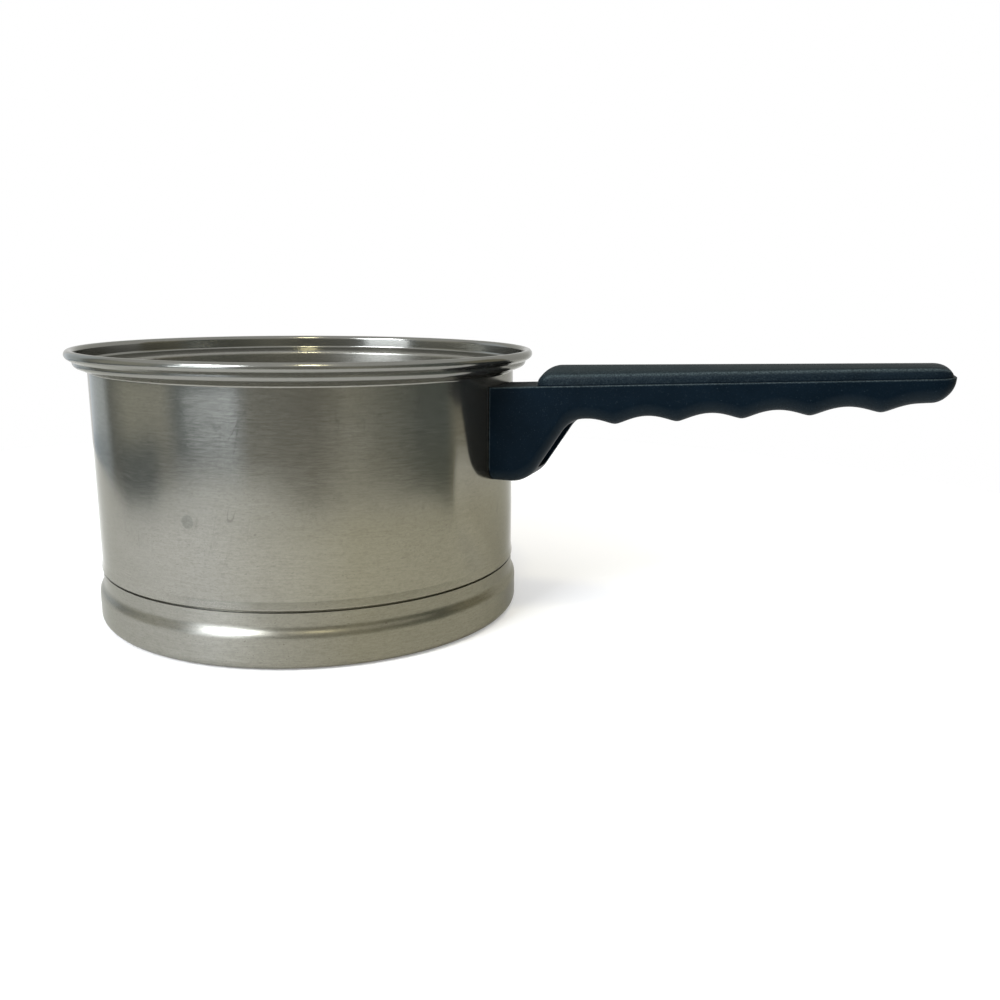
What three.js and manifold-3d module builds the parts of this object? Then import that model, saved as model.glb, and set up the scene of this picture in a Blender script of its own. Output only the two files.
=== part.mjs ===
// A two-quart saucepan: drawn steel vessel with a stepped and rolled rim, capsule base with an
// aluminium core, and one finger-grooved phenolic handle held by a bracket and a screw.
// Millimetres, +Z up. The origin is the middle of the base's underside, and the handle points along +X.

import * as THREE from 'three';
import { mergeVertices } from 'three/addons/utils/BufferGeometryUtils.js';
import Module from 'manifold-3d';

const wasm = await Module();
wasm.setup();

// Vessel
const WALL_RADIUS = 84.4; // outside of the straight wall
const SHEET = 0.9; // steel sheet that the vessel is drawn from
const LEDGE_Z = 99; // height where the wall bends out into the lid ledge
const LEDGE_WIDTH = 5.1; // from the wall out to the upright collar
const LEDGE_SLOPE = THREE.MathUtils.degToRad(23);
const LEDGE_INNER_BEND = 1.2; // bends are radii on the middle of the sheet
const LEDGE_OUTER_BEND = 1.6;
const COLLAR_HEIGHT = 5.75; // from the ledge's outer corner up to the top of the bead
const BEAD_OVERHANG = 2.65; // rolled bead outside the collar
const BEAD_SIDE = 2.05; // top of the bead down to where its edge tucks in, on the middle of the sheet
const BEAD_TUCK = THREE.MathUtils.degToRad(34); // slope of the tucked edge, from the horizontal
const BEAD_SLIT = 0.3; // gap left between the tucked edge and the collar
const SHOULDER_Z = 21.3; // underside of the shoulder, at the seam
const SHOULDER_LIP = 0.45; // how far the shoulder stands out from the wall
const SHOULDER_FADE = 3; // height over which the lip runs out into the wall
const SHOULDER_BEND = 0.5;
const FLOOR_BEND = 6.5;

// Capsule base
const CAP_SHEET = 0.8;
const CAP_STEP = 1.7; // lower band outside the wall
const FOOT_BEND = 3.1;
const SEAM_GAP = 0.65; // open seam between the shoulder and the cap's upper edge
const UPPER_BAND = 4.5; // upright band below the seam
const STEP_HEIGHT = 4.9; // the S-shaped step from the upper band to the lower one
const CORE_THICKNESS = 7; // aluminium under the vessel's floor
const BRAZE = 0.1; // braze film on every side of the core

// Grip, with lengths along X measured from the wall
const GRIP_REACH = 158.5; // wall to the tip
const GRIP_DROP = 4.4; // mould line below the ledge, at the wall
const GRIP_TILT = THREE.MathUtils.degToRad(3.4); // the mould line climbs towards the tip
const GRIP_WIDTH = 24.8;
const GRIP_EDGE = 6; // rounding of the lower long edges
const GRIP_NARROWING = 0.8; // taken off the width from the wall to the tip
const TIP_CORNER = 7.5; // rounding of the tip seen from above
const TIP_ROUND = 7.3; // length of the rounding under the tip
const TIP_EDGE = 0.9; // upright edge that is left at the tip
const ROOT_DEPTH = 36; // mould line to the underside of the root, at the wall
const HEEL_REACH = 13; // wall to the heel corner
const HEEL_BEND = 12;
const SLANT = THREE.MathUtils.degToRad(57); // slanted underside, from the horizontal
const KNEE_BEND = 11;
const FIRST_RIDGE = 46.5; // wall to the first finger ridge
const RIDGE_PITCH = 22.5;
const RIDGE_COUNT = 5;
const RIDGE_DEPTH = 14.6; // mould line to the first finger ridge
const RIDGE_LOSS = 3.45; // how much shallower the last ridge is
const GROOVE_DEPTH = 2.4;
const RIDGE_SOFTNESS = 0.2; // rounds the crest of a finger ridge
const CROWN_SETBACK = 16; // wall to the front of the raised crown
const CROWN_LAND = 1; // flat land left round the crown at the mould line
const CROWN_HEIGHT = 7.2; // above the mould line, at the front
const CROWN_LOSS = 3; // how much lower it is at the tip
const CROWN_SIDE = 3.4; // upright part of its side
const CROWN_EDGE = 1.8; // rounding between side and top
const CROWN_BROW = 1 / 3; // share of the arch's rise that this rounding takes up
const CROWN_SINK = 0.6; // how far the crown's own shape reaches into the lower half that it is one with
const CROWN_FOOT = THREE.MathUtils.degToRad(12); // its end roundings start this far up, from an upright foot
const NOSE_LENGTH = 8; // rounding of the crown's front, seen from the side
const NOSE_CORNER = 7; // and seen from above
const TAIL_LENGTH = 6; // rounding of the crown's end, seen from the side

// Fixing
const SEAT_GAP = 0.3; // clearance of pieces cut to their neighbour
const STACK_GAP = 0.1; // clearance between flat faces that press together
const SCREW_DROP = 21.85; // screw axis below the mould line at the wall
const SCREW_DIAMETER = 5;
const HEAD_DIAMETER = 9;
const HEAD_HEIGHT = 3.4;
const HEAD_RIM = 1.4; // upright edge under the head's dome
const SLOT_WIDTH = 1.3;
const SLOT_DEPTH = 1.6;
const SLOT_CORNER = 0.2;
const BRACKET_SHEET = 1.5;
const BRACKET_WIDTH = 17;
const BRACKET_STANDOFF = 7.1; // wall to the bracket's outer face
const BRACKET_BOX = 16; // height of the raised middle
const BRACKET_FLANGE = 3.5; // height of each welded flange
const BRACKET_BEND = 2;
const NUT_WIDTH = 8;
const NUT_THICKNESS = 4;
const NUT_CORNER = 1;
const FLAT_WASHER_DIAMETER = 10;
const FLAT_WASHER_THICKNESS = 1;
const LOCK_WASHER_DIAMETER = 9;
const LOCK_WASHER_THICKNESS = 1.3;
const LOCK_WASHER_SPLIT = 1;
const SPLIT_CORNER = 0.25;
const BULKHEAD = 5; // phenolic between the bracket's cavity and the screw's pocket
const POCKET_WIDTH = 11;
const POCKET_HEIGHT = 17.5;
const POCKET_BEND = 2;
const CAVITY_FIT = 0.4; // play of the bracket in its cavity

// Fineness of the facets
const TURNS = 48;
const ARC_STEP = THREE.MathUtils.degToRad(30);
const FINE_ARC_STEP = THREE.MathUtils.degToRad(15);
const EDGE_ARC_STEP = THREE.MathUtils.degToRad(22.5);
const BORE_SIDES = 24;
const GROOVE_STEPS = 8;
const NOSE_STEPS = 6;
const CROWN_STEPS = 5;
const DOME_STEPS = 4;
const SAME_POINT = 1e-4; // points closer than this are one
const ROUND_SHARE = 0.95; // the most of its room that a rounded edge of the grip takes
const OVERCUT = 1; // how far a cut reaches past the piece that it cuts

// Heights and places that several pieces share
const skirtRadius = WALL_RADIUS - CAP_SHEET - BRAZE; // vessel below the seam, inside the cap
const floorUnderside = CAP_SHEET + BRAZE + CORE_THICKNESS + BRAZE;
const capTop = SHOULDER_Z - SEAM_GAP;
const stepTop = capTop - UPPER_BAND;
const stepFoot = stepTop - STEP_HEIGHT;
const mouldLineAtWall = LEDGE_Z - GRIP_DROP;
const blankStart = Math.sqrt(WALL_RADIUS ** 2 - (GRIP_WIDTH / 2) ** 2) - OVERCUT; // inside the wall
const tipX = WALL_RADIUS + GRIP_REACH;
const screwZ = mouldLineAtWall - SCREW_DROP;
const bracketFace = WALL_RADIUS + BRACKET_STANDOFF;
const cavityEnd = bracketFace + CAVITY_FIT;
const screwSeat = cavityEnd + BULKHEAD;
const boreRadius = SCREW_DIAMETER / 2 + SEAT_GAP;
const flatWasherStart = screwSeat + STACK_GAP;
const lockWasherStart = flatWasherStart + FLAT_WASHER_THICKNESS + STACK_GAP;
const headStart = lockWasherStart + LOCK_WASHER_THICKNESS + STACK_GAP;

// A line through corner points [x, y, bend radius], with each bend as an arc that fits its sides.
function bentLine(corners, arcStep = ARC_STEP) {
  const points = [];
  corners.forEach(([x, y, bend = 0], i) => {
    const corner = new THREE.Vector2(x, y);
    if (!bend) {
      points.push(corner);
      return;
    }
    const back = new THREE.Vector2(...corners[i - 1].slice(0, 2)).sub(corner);
    const ahead = new THREE.Vector2(...corners[i + 1].slice(0, 2)).sub(corner);
    const halfTurn = (Math.PI - Math.abs(back.angleTo(ahead))) / 2;
    const roomBack = back.length() / (corners[i - 1][2] ? 2 : 1);
    const roomAhead = ahead.length() / (corners[i + 1][2] ? 2 : 1);
    const tangent = Math.min(bend * Math.tan(halfTurn), roomBack, roomAhead);
    const radius = tangent / Math.tan(halfTurn);
    const start = back.clone().setLength(tangent).add(corner);
    const turnsLeft = back.cross(ahead) < 0;
    const side = new THREE.Vector2(back.y, -back.x).setLength(turnsLeft ? radius : -radius);
    const centre = start.clone().add(side);
    const steps = Math.max(1, Math.round((2 * halfTurn) / arcStep));
    for (let k = 0; k <= steps; k += 1) {
      const angle = (turnsLeft ? 1 : -1) * (k / steps) * 2 * halfTurn;
      points.push(start.clone().rotateAround(centre, angle));
    }
  });
  return points.filter((point, i) => i === 0 || point.distanceTo(points[i - 1]) > SAME_POINT);
}

// The line moved sideways, to the right of its direction for a positive distance.
function offsetLine(points, distance) {
  return points.map((point, i) => {
    const before = point.clone().sub(points[Math.max(i - 1, 0)]).normalize();
    const after = points[Math.min(i + 1, points.length - 1)].clone().sub(point).normalize();
    const along = before.clone().add(after).normalize();
    const stretch = i === 0 || i === points.length - 1 ? 1 : along.dot(before);
    return point.clone().addScaledVector(new THREE.Vector2(along.y, -along.x), distance / stretch);
  });
}

// Outline of bent sheet metal round its middle line.
function sheetOutline(middle, thickness) {
  return [...offsetLine(middle, thickness / 2), ...offsetLine(middle, -thickness / 2).reverse()];
}

// The part of a rising line that lies below a height.
function below(points, height) {
  const last = points.findIndex((point) => point.y > height);
  const share = (height - points[last - 1].y) / (points[last].y - points[last - 1].y);
  return [...points.slice(0, last), points[last - 1].clone().lerp(points[last], share)];
}

// A solid turned about the pan's axis from an outline of [radius, height] points.
function turned(outline) {
  return new THREE.LatheGeometry(outline, TURNS).rotateX(Math.PI / 2);
}

// A solid turned about an axis along +X from an outline of [distance, radius] points.
function turnedAlongX(outline, sides = BORE_SIDES) {
  const profile = outline.map(([x, radius]) => new THREE.Vector2(radius, x));
  return new THREE.LatheGeometry(profile, sides).rotateZ(-Math.PI / 2);
}

// An outline of [x, z] points given a thickness across Y, centred on y = 0.
function plateAcrossY(outline, width) {
  const geometry = new THREE.ExtrudeGeometry(new THREE.Shape(outline), {
    depth: width,
    bevelEnabled: false,
  });
  return geometry.rotateX(Math.PI / 2).translate(0, width / 2, 0);
}

// A block with rounded long edges along X, from x0 to x1, centred on y = 0 and on a height.
function blockAlongX(x0, x1, width, height, centreZ, bend) {
  const y = width / 2;
  const z = height / 2;
  const outline = bentLine([
    [0, -z], [y, -z, bend], [y, z, bend], [-y, z, bend], [-y, -z, bend], [0, -z],
  ]);
  const geometry = new THREE.ExtrudeGeometry(new THREE.Shape(outline.slice(0, -1)), {
    depth: x1 - x0,
    bevelEnabled: false,
  });
  return geometry.rotateX(Math.PI / 2).rotateZ(Math.PI / 2).translate(x0, 0, centreZ);
}

// A closed skin over cross-sections that follow one another along +X, each a loop of as many points.
function loft(sections) {
  const count = sections[0].length;
  const vertices = sections.flat();
  const triangles = [];
  for (let s = 0; s + 1 < sections.length; s += 1) {
    for (let i = 0; i < count; i += 1) {
      const a = s * count + i;
      const b = s * count + ((i + 1) % count);
      triangles.push(a, b, a + count, b, b + count, a + count);
    }
  }
  [0, sections.length - 1].forEach((s) => {
    const middle = new THREE.Vector3();
    sections[s].forEach((point) => middle.addScaledVector(point, 1 / count));
    vertices.push(middle);
    for (let i = 0; i < count; i += 1) {
      const a = s * count + i;
      const b = s * count + ((i + 1) % count);
      triangles.push(...(s === 0 ? [b, a] : [a, b]), vertices.length - 1);
    }
  });
  const geometry = new THREE.BufferGeometry().setFromPoints(vertices);
  geometry.setIndex(triangles);
  return geometry;
}

// A geometry as a solid that can be joined and cut.
function solid(geometry) {
  const bare = new THREE.BufferGeometry();
  bare.setAttribute('position', geometry.getAttribute('position'));
  bare.setIndex(geometry.getIndex());
  const merged = mergeVertices(bare);
  const index = merged.getIndex().array;
  const kept = [];
  for (let i = 0; i < index.length; i += 3) {
    const [a, b, c] = index.subarray(i, i + 3);
    if (a !== b && b !== c && c !== a) kept.push(a, b, c);
  }
  return new wasm.Manifold(new wasm.Mesh({
    numProp: 3,
    vertProperties: merged.getAttribute('position').array,
    triVerts: new Uint32Array(kept),
  }));
}

// A solid back as a geometry.
function geometryOf(shape) {
  const { vertProperties, triVerts } = shape.getMesh();
  const geometry = new THREE.BufferGeometry();
  geometry.setAttribute('position', new THREE.BufferAttribute(vertProperties, 3));
  geometry.setIndex(new THREE.BufferAttribute(triVerts, 1));
  return geometry;
}

// Middle line of the vessel's sheet, from the axis along the floor and up to the end of the curl.
function vesselLine() {
  const skirt = skirtRadius - SHEET / 2;
  const wall = WALL_RADIUS - SHEET / 2;
  const collar = wall + LEDGE_WIDTH;
  const bead = collar + BEAD_OVERHANG;
  const floor = floorUnderside + SHEET / 2;
  const shoulder = SHOULDER_Z + SHEET / 2;
  const ledgeTop = LEDGE_Z + LEDGE_WIDTH * Math.tan(LEDGE_SLOPE);
  const beadTop = ledgeTop + COLLAR_HEIGHT - SHEET / 2;
  const tuck = beadTop - BEAD_SIDE;
  const edge = collar + SHEET / 2 + BEAD_SLIT + (SHEET / 2) * Math.sin(BEAD_TUCK);
  return bentLine([
    [0, floor],
    [skirt, floor, FLOOR_BEND],
    [skirt, shoulder, SHOULDER_BEND],
    [wall + SHOULDER_LIP, shoulder, SHOULDER_BEND],
    [wall, shoulder + SHOULDER_FADE, SHOULDER_FADE],
    [wall, LEDGE_Z, LEDGE_INNER_BEND],
    [collar, ledgeTop, LEDGE_OUTER_BEND],
    [collar, beadTop, BEAD_OVERHANG / 2],
    [bead, beadTop, BEAD_OVERHANG / 2],
    [bead, tuck, BEAD_OVERHANG / 2],
    [edge, tuck - (bead - edge) * Math.tan(BEAD_TUCK)],
  ]);
}

// Middle line of the base cap's sheet, from the axis along the underside and up to the seam.
function capLine() {
  const upper = WALL_RADIUS - CAP_SHEET / 2;
  const lower = upper + CAP_STEP;
  const middle = (stepTop + stepFoot) / 2;
  const bend = (STEP_HEIGHT ** 2 + CAP_STEP ** 2) / (4 * CAP_STEP);
  const rise = CAP_STEP / 2 / Math.tan(Math.asin(STEP_HEIGHT / (2 * bend)));
  return bentLine([
    [0, CAP_SHEET / 2],
    [lower, CAP_SHEET / 2, FOOT_BEND],
    [lower, middle - rise, bend],
    [upper, middle + rise, bend],
    [upper, capTop],
  ], FINE_ARC_STEP);
}

// The core fills the capsule: it follows the inside of the cap up to the middle of the step, and
// comes back down along the underside of the vessel.
function coreOutline() {
  const lip = (stepTop + stepFoot) / 2;
  const outside = below(offsetLine(capLine(), -CAP_SHEET / 2 - BRAZE), lip);
  const inside = below(offsetLine(vesselLine(), SHEET / 2 + BRAZE), lip);
  return [...outside, ...inside.reverse()];
}

// Height of the mould line, which is the flat top of the grip's lower half.
function mouldLine(x) {
  return mouldLineAtWall + (x - WALL_RADIUS) * Math.tan(GRIP_TILT);
}

// Half of the grip's width, narrowing a little and rounded at the tip.
function gripHalfWidth(x, end, corner, inset = 0) {
  const half = (GRIP_WIDTH - (GRIP_NARROWING * (x - WALL_RADIUS)) / GRIP_REACH) / 2 - inset;
  const past = Math.max(0, x - (end - corner));
  return half - corner + Math.sqrt(Math.max(0, corner ** 2 - past ** 2));
}

// Depth of the finger-grooved underside below the mould line: arched grooves between ridges that
// get shallower towards the tip, running out level after the last ridge.
function grooveDepth(x) {
  const lastRidge = WALL_RADIUS + FIRST_RIDGE + (RIDGE_COUNT - 1) * RIDGE_PITCH;
  const fromFirst = x - WALL_RADIUS - FIRST_RIDGE;
  const loss = (RIDGE_LOSS * fromFirst) / ((RIDGE_COUNT - 1) * RIDGE_PITCH);
  const phase = Math.min(x, lastRidge + RIDGE_PITCH / 2) - WALL_RADIUS - FIRST_RIDGE;
  const wave = Math.sin((Math.PI * phase) / RIDGE_PITCH);
  const arch = Math.hypot(wave, RIDGE_SOFTNESS) - RIDGE_SOFTNESS;
  return RIDGE_DEPTH - loss - (GROOVE_DEPTH * arch) / (Math.hypot(1, RIDGE_SOFTNESS) - RIDGE_SOFTNESS);
}

// Underside of the grip as [x, z] points from the wall to the tip.
function undersideLine() {
  const rootZ = mouldLineAtWall - ROOT_DEPTH;
  const heelX = WALL_RADIUS + HEEL_REACH;
  const firstGroove = WALL_RADIUS + FIRST_RIDGE - RIDGE_PITCH / 2;
  const grooveZ = (x) => mouldLine(x) - grooveDepth(x);
  const kneeX = heelX + (grooveZ(firstGroove) - rootZ) / Math.tan(SLANT);
  const root = bentLine([
    [blankStart, rootZ],
    [heelX, rootZ, HEEL_BEND],
    [kneeX, grooveZ(firstGroove), KNEE_BEND],
    [Math.max(firstGroove, kneeX + KNEE_BEND * Math.tan(SLANT / 2)), grooveZ(firstGroove)],
  ], FINE_ARC_STEP);
  const grooves = [];
  const tailX = tipX - TIP_ROUND;
  const step = RIDGE_PITCH / GROOVE_STEPS;
  for (let x = root[root.length - 1].x + step; x < tailX - step / 2; x += step) {
    grooves.push(new THREE.Vector2(x, grooveZ(x)));
  }
  const tip = [];
  for (let k = 0; k <= NOSE_STEPS; k += 1) {
    const turn = (k / NOSE_STEPS) * (Math.PI / 2);
    const x = tailX + TIP_ROUND * Math.sin(turn);
    const depth = TIP_EDGE + (grooveDepth(tailX) - TIP_EDGE) * Math.cos(turn);
    tip.push(new THREE.Vector2(x, mouldLine(x) - depth));
  }
  return [...root, ...grooves, ...tip];
}

// Lower half of the grip: a flat top at the mould line, upright sides and rounded lower edges.
function gripLowerHalf() {
  return loft(undersideLine().map(({ x, y: z }) => {
    const top = mouldLine(x);
    const half = gripHalfWidth(x, tipX, TIP_CORNER);
    const edge = Math.min(GRIP_EDGE, half * ROUND_SHARE, (top - z) * ROUND_SHARE);
    const across = [[-half, top], [-half, z, edge], [half, z, edge], [half, top]];
    return bentLine(across, EDGE_ARC_STEP).map((point) => new THREE.Vector3(x, point.x, point.y));
  }));
}

// Raised crown on the mould line: upright sides, rounded edges and an arched top. It starts in a
// round nose short of the wall and runs down at the tip.
function gripCrown() {
  const front = WALL_RADIUS + CROWN_SETBACK;
  const end = tipX - CROWN_LAND;
  const nose = [];
  const tail = [];
  for (let k = 0; k <= NOSE_STEPS; k += 1) {
    const turn = THREE.MathUtils.lerp(CROWN_FOOT, Math.PI / 2, k / NOSE_STEPS);
    const run = Math.cos(CROWN_FOOT) - Math.cos(turn);
    nose.push([front + NOSE_LENGTH * run, Math.sin(turn)]);
    tail.unshift([end - TAIL_LENGTH * run, Math.sin(turn)]);
  }
  return loft([...nose, ...tail].map(([x, rise]) => {
    const land = mouldLine(x);
    const noseCut = Math.max(0, front + NOSE_CORNER - x);
    const noseInset = NOSE_CORNER - Math.sqrt(NOSE_CORNER ** 2 - noseCut ** 2);
    const half = gripHalfWidth(x, end, TIP_CORNER - CROWN_LAND, CROWN_LAND) - noseInset;
    const height = (CROWN_HEIGHT - (CROWN_LOSS * (x - front)) / (end - front)) * rise;
    const side = Math.min(CROWN_SIDE * rise, height);
    const edge = Math.min(CROWN_EDGE, side / 2);
    const brow = land + side + (height - side) * CROWN_BROW; // where the rounded edge meets the arched top
    const path = new THREE.Path();
    path.moveTo(half, land - CROWN_SINK);
    path.lineTo(half, land + side - edge);
    path.quadraticCurveTo(half, land + side, half - edge, brow);
    path.quadraticCurveTo(0, 2 * (land + height) - brow, edge - half, brow);
    path.quadraticCurveTo(-half, land + side, -half, land + side - edge);
    path.lineTo(-half, land - CROWN_SINK);
    return path.getPoints(CROWN_STEPS).map((point) => new THREE.Vector3(x, point.x, point.y));
  }));
}

// The wall as a plain drum, grown by a clearance, to cut what lies against it.
function wallDrum(clearance) {
  const outline = [[0, 0], [WALL_RADIUS + clearance, 0], [WALL_RADIUS + clearance, LEDGE_Z], [0, LEDGE_Z]];
  return solid(turned(outline.map(([radius, z]) => new THREE.Vector2(radius, z))));
}

// A round bore along X at the screw's axis.
function boreAlongX(x0, x1, radius) {
  return solid(turnedAlongX([[x0, 0], [x0, radius], [x1, radius], [x1, 0]]).translate(0, 0, screwZ));
}

// Hat-shaped outline of the bracket in [x, z], grown by a clearance to make its cavity.
function hatOutline(grow) {
  const flange = WALL_RADIUS + BRACKET_SHEET + grow;
  const face = bracketFace + grow;
  const box = BRACKET_BOX / 2 + grow;
  const reach = BRACKET_BOX / 2 + BRACKET_FLANGE + grow;
  return bentLine([
    [blankStart, -reach], [flange, -reach], [flange, -box], [face, -box, BRACKET_BEND],
    [face, box, BRACKET_BEND], [flange, box], [flange, reach], [blankStart, reach],
  ]).map((point) => point.add(new THREE.Vector2(0, screwZ)));
}

function gripGeometry() {
  const cavity = solid(plateAcrossY(hatOutline(CAVITY_FIT), BRACKET_WIDTH + 2 * CAVITY_FIT));
  const pocket = solid(blockAlongX(screwSeat, tipX, POCKET_WIDTH, POCKET_HEIGHT, screwZ, POCKET_BEND));
  const blank = solid(gripLowerHalf()).add(solid(gripCrown()));
  const bore = boreAlongX(bracketFace, screwSeat + OVERCUT, boreRadius);
  return geometryOf(blank.subtract(wallDrum(SEAT_GAP).add(cavity).add(pocket).add(bore)));
}

function bracketGeometry() {
  const room = BRACKET_BOX / 2 - BRACKET_SHEET;
  const inside = bracketFace - BRACKET_SHEET;
  const hollow = [[0, -room], [inside, -room], [inside, room], [0, room]];
  const outline = hollow.map(([x, z]) => new THREE.Vector2(x, z + screwZ));
  const cuts = solid(plateAcrossY(outline, BRACKET_WIDTH + 2 * OVERCUT)).add(wallDrum(SEAT_GAP));
  const hat = solid(plateAcrossY(hatOutline(0), BRACKET_WIDTH));
  const bore = boreAlongX(inside - OVERCUT, bracketFace + OVERCUT, boreRadius);
  return geometryOf(hat.subtract(cuts).subtract(bore));
}

function nutGeometry() {
  const end = bracketFace - BRACKET_SHEET - STACK_GAP;
  const start = end - NUT_THICKNESS;
  const block = solid(blockAlongX(start, end, NUT_WIDTH, NUT_WIDTH, screwZ, NUT_CORNER));
  return geometryOf(block.subtract(boreAlongX(start - OVERCUT, end + OVERCUT, boreRadius)));
}

// A flat ring on the screw's axis.
function washerSolid(start, thickness, diameter) {
  const end = start + thickness;
  const disc = solid(turnedAlongX([[start, 0], [start, diameter / 2], [end, diameter / 2], [end, 0]]));
  return disc.translate([0, 0, screwZ]).subtract(boreAlongX(start - OVERCUT, end + OVERCUT, boreRadius));
}

function flatWasherGeometry() {
  return geometryOf(washerSolid(flatWasherStart, FLAT_WASHER_THICKNESS, FLAT_WASHER_DIAMETER));
}

function lockWasherGeometry() {
  const start = lockWasherStart - OVERCUT;
  const middle = screwZ + LOCK_WASHER_DIAMETER / 2;
  const split = blockAlongX(
    start, headStart + OVERCUT, LOCK_WASHER_SPLIT, LOCK_WASHER_DIAMETER, middle, SPLIT_CORNER,
  );
  const ring = washerSolid(lockWasherStart, LOCK_WASHER_THICKNESS, LOCK_WASHER_DIAMETER);
  return geometryOf(ring.subtract(solid(split)));
}

// Slotted screw: a plain shank ending flush with the nut, and a domed head.
function screwGeometry() {
  const shankEnd = bracketFace - BRACKET_SHEET - STACK_GAP - NUT_THICKNESS;
  const shank = SCREW_DIAMETER / 2;
  const head = HEAD_DIAMETER / 2;
  const dome = [];
  const headTop = headStart + HEAD_HEIGHT;
  for (let k = 0; k < DOME_STEPS; k += 1) {
    const turn = (k / DOME_STEPS) * (Math.PI / 2);
    dome.push([headStart + HEAD_RIM + (HEAD_HEIGHT - HEAD_RIM) * Math.sin(turn), head * Math.cos(turn)]);
  }
  const body = turnedAlongX([
    [shankEnd, 0], [shankEnd, shank], [headStart, shank], [headStart, head], ...dome, [headTop, 0],
  ]);
  const slot = blockAlongX(
    headTop - SLOT_DEPTH, headTop + OVERCUT, HEAD_DIAMETER + 2 * OVERCUT, SLOT_WIDTH, screwZ, SLOT_CORNER,
  );
  return geometryOf(solid(body).translate([0, 0, screwZ]).subtract(solid(slot)));
}

// Materials
const brushedSteel = { color: 0xb3b2a8, roughness: 0.32, metalness: 1 };
const plainSteel = { color: 0x9c9d9b, roughness: 0.4, metalness: 1 };
const aluminium = { color: 0xc4c6c8, roughness: 0.5, metalness: 1 };
const phenolic = { color: 0x14202b, roughness: 0.42, metalness: 0 };

const saucepan = new THREE.Group();

function addPiece(name, geometry, look) {
  const piece = new THREE.Mesh(geometry, new THREE.MeshStandardMaterial(look));
  piece.name = name;
  saucepan.add(piece);
}

addPiece('pan_vessel', turned(sheetOutline(vesselLine(), SHEET)), brushedSteel);
addPiece('heat_core', turned(coreOutline()), aluminium);
addPiece('base_cap', turned(sheetOutline(capLine(), CAP_SHEET)), brushedSteel);
addPiece('handle_bracket', bracketGeometry(), plainSteel);
addPiece('bracket_nut', nutGeometry(), plainSteel);
addPiece('handle_grip', gripGeometry(), phenolic);
addPiece('flat_washer', flatWasherGeometry(), plainSteel);
addPiece('lock_washer', lockWasherGeometry(), plainSteel);
addPiece('handle_screw', screwGeometry(), plainSteel);

export default saucepan;
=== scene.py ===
# A two-quart saucepan: a satin steel pan on a capsule base, with one moulded phenolic handle.
# Metres, +Z up, the pan's axis on Z and the handle along +X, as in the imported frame.
import math

import bpy
import numpy as np
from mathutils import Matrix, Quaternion, Vector


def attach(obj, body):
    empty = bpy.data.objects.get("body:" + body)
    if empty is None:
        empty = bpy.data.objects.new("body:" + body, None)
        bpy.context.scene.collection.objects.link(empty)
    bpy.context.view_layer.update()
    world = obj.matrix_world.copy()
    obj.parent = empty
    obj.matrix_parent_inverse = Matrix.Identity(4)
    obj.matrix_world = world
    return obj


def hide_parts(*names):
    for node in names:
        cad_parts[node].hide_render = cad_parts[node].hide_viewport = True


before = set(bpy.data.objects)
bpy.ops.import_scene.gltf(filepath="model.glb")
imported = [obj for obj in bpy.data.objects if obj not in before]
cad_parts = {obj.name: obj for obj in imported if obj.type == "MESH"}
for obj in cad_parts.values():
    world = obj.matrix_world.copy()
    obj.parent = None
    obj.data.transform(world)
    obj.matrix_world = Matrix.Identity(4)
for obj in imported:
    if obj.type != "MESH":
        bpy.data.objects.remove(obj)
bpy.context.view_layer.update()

# Pan vessel
# One stainless sheet, drawn to a straight wall and stepped out at the top into a sloping lid ledge,
# an upright collar and a closed rolled bead. The wall is brushed round and round, the rim is buffed.
MM = 0.001
WALL_RADIUS = 84.4 * MM
SHEET = 0.9 * MM
SKIRT_RADIUS = 83.5 * MM  # below the seam, inside the base cap
FLOOR_UNDERSIDE = 8 * MM
FLOOR_BEND = 6.5 * MM
SHOULDER_Z = 21.3 * MM
SHOULDER_LIP = 0.45 * MM
SHOULDER_FADE = 3 * MM
SHOULDER_BEND = 0.22 * MM
LEDGE_Z = 99 * MM
LEDGE_WIDTH = 5.1 * MM
LEDGE_SLOPE = math.radians(23)
LEDGE_INNER_BEND = 1.2 * MM
LEDGE_OUTER_BEND = 1.6 * MM
COLLAR_HEIGHT = 5.75 * MM  # ledge corner to the top of the bead
BEAD_OVERHANG = 2.65 * MM
BEAD_SIDE = 2.05 * MM
BEAD_TUCK = math.radians(34)
BEAD_SLIT = 0.06 * MM  # the tucked edge all but closes on the collar
PAN_TURNS = 256
AXIS_RING = 0.4 * MM  # smallest ring round the axis, which a fan closes
BUFFED_FADE = 1.5 * MM  # the buffing starts at the ledge and is full this far above it
SHARP_EDGE = math.radians(35)


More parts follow.
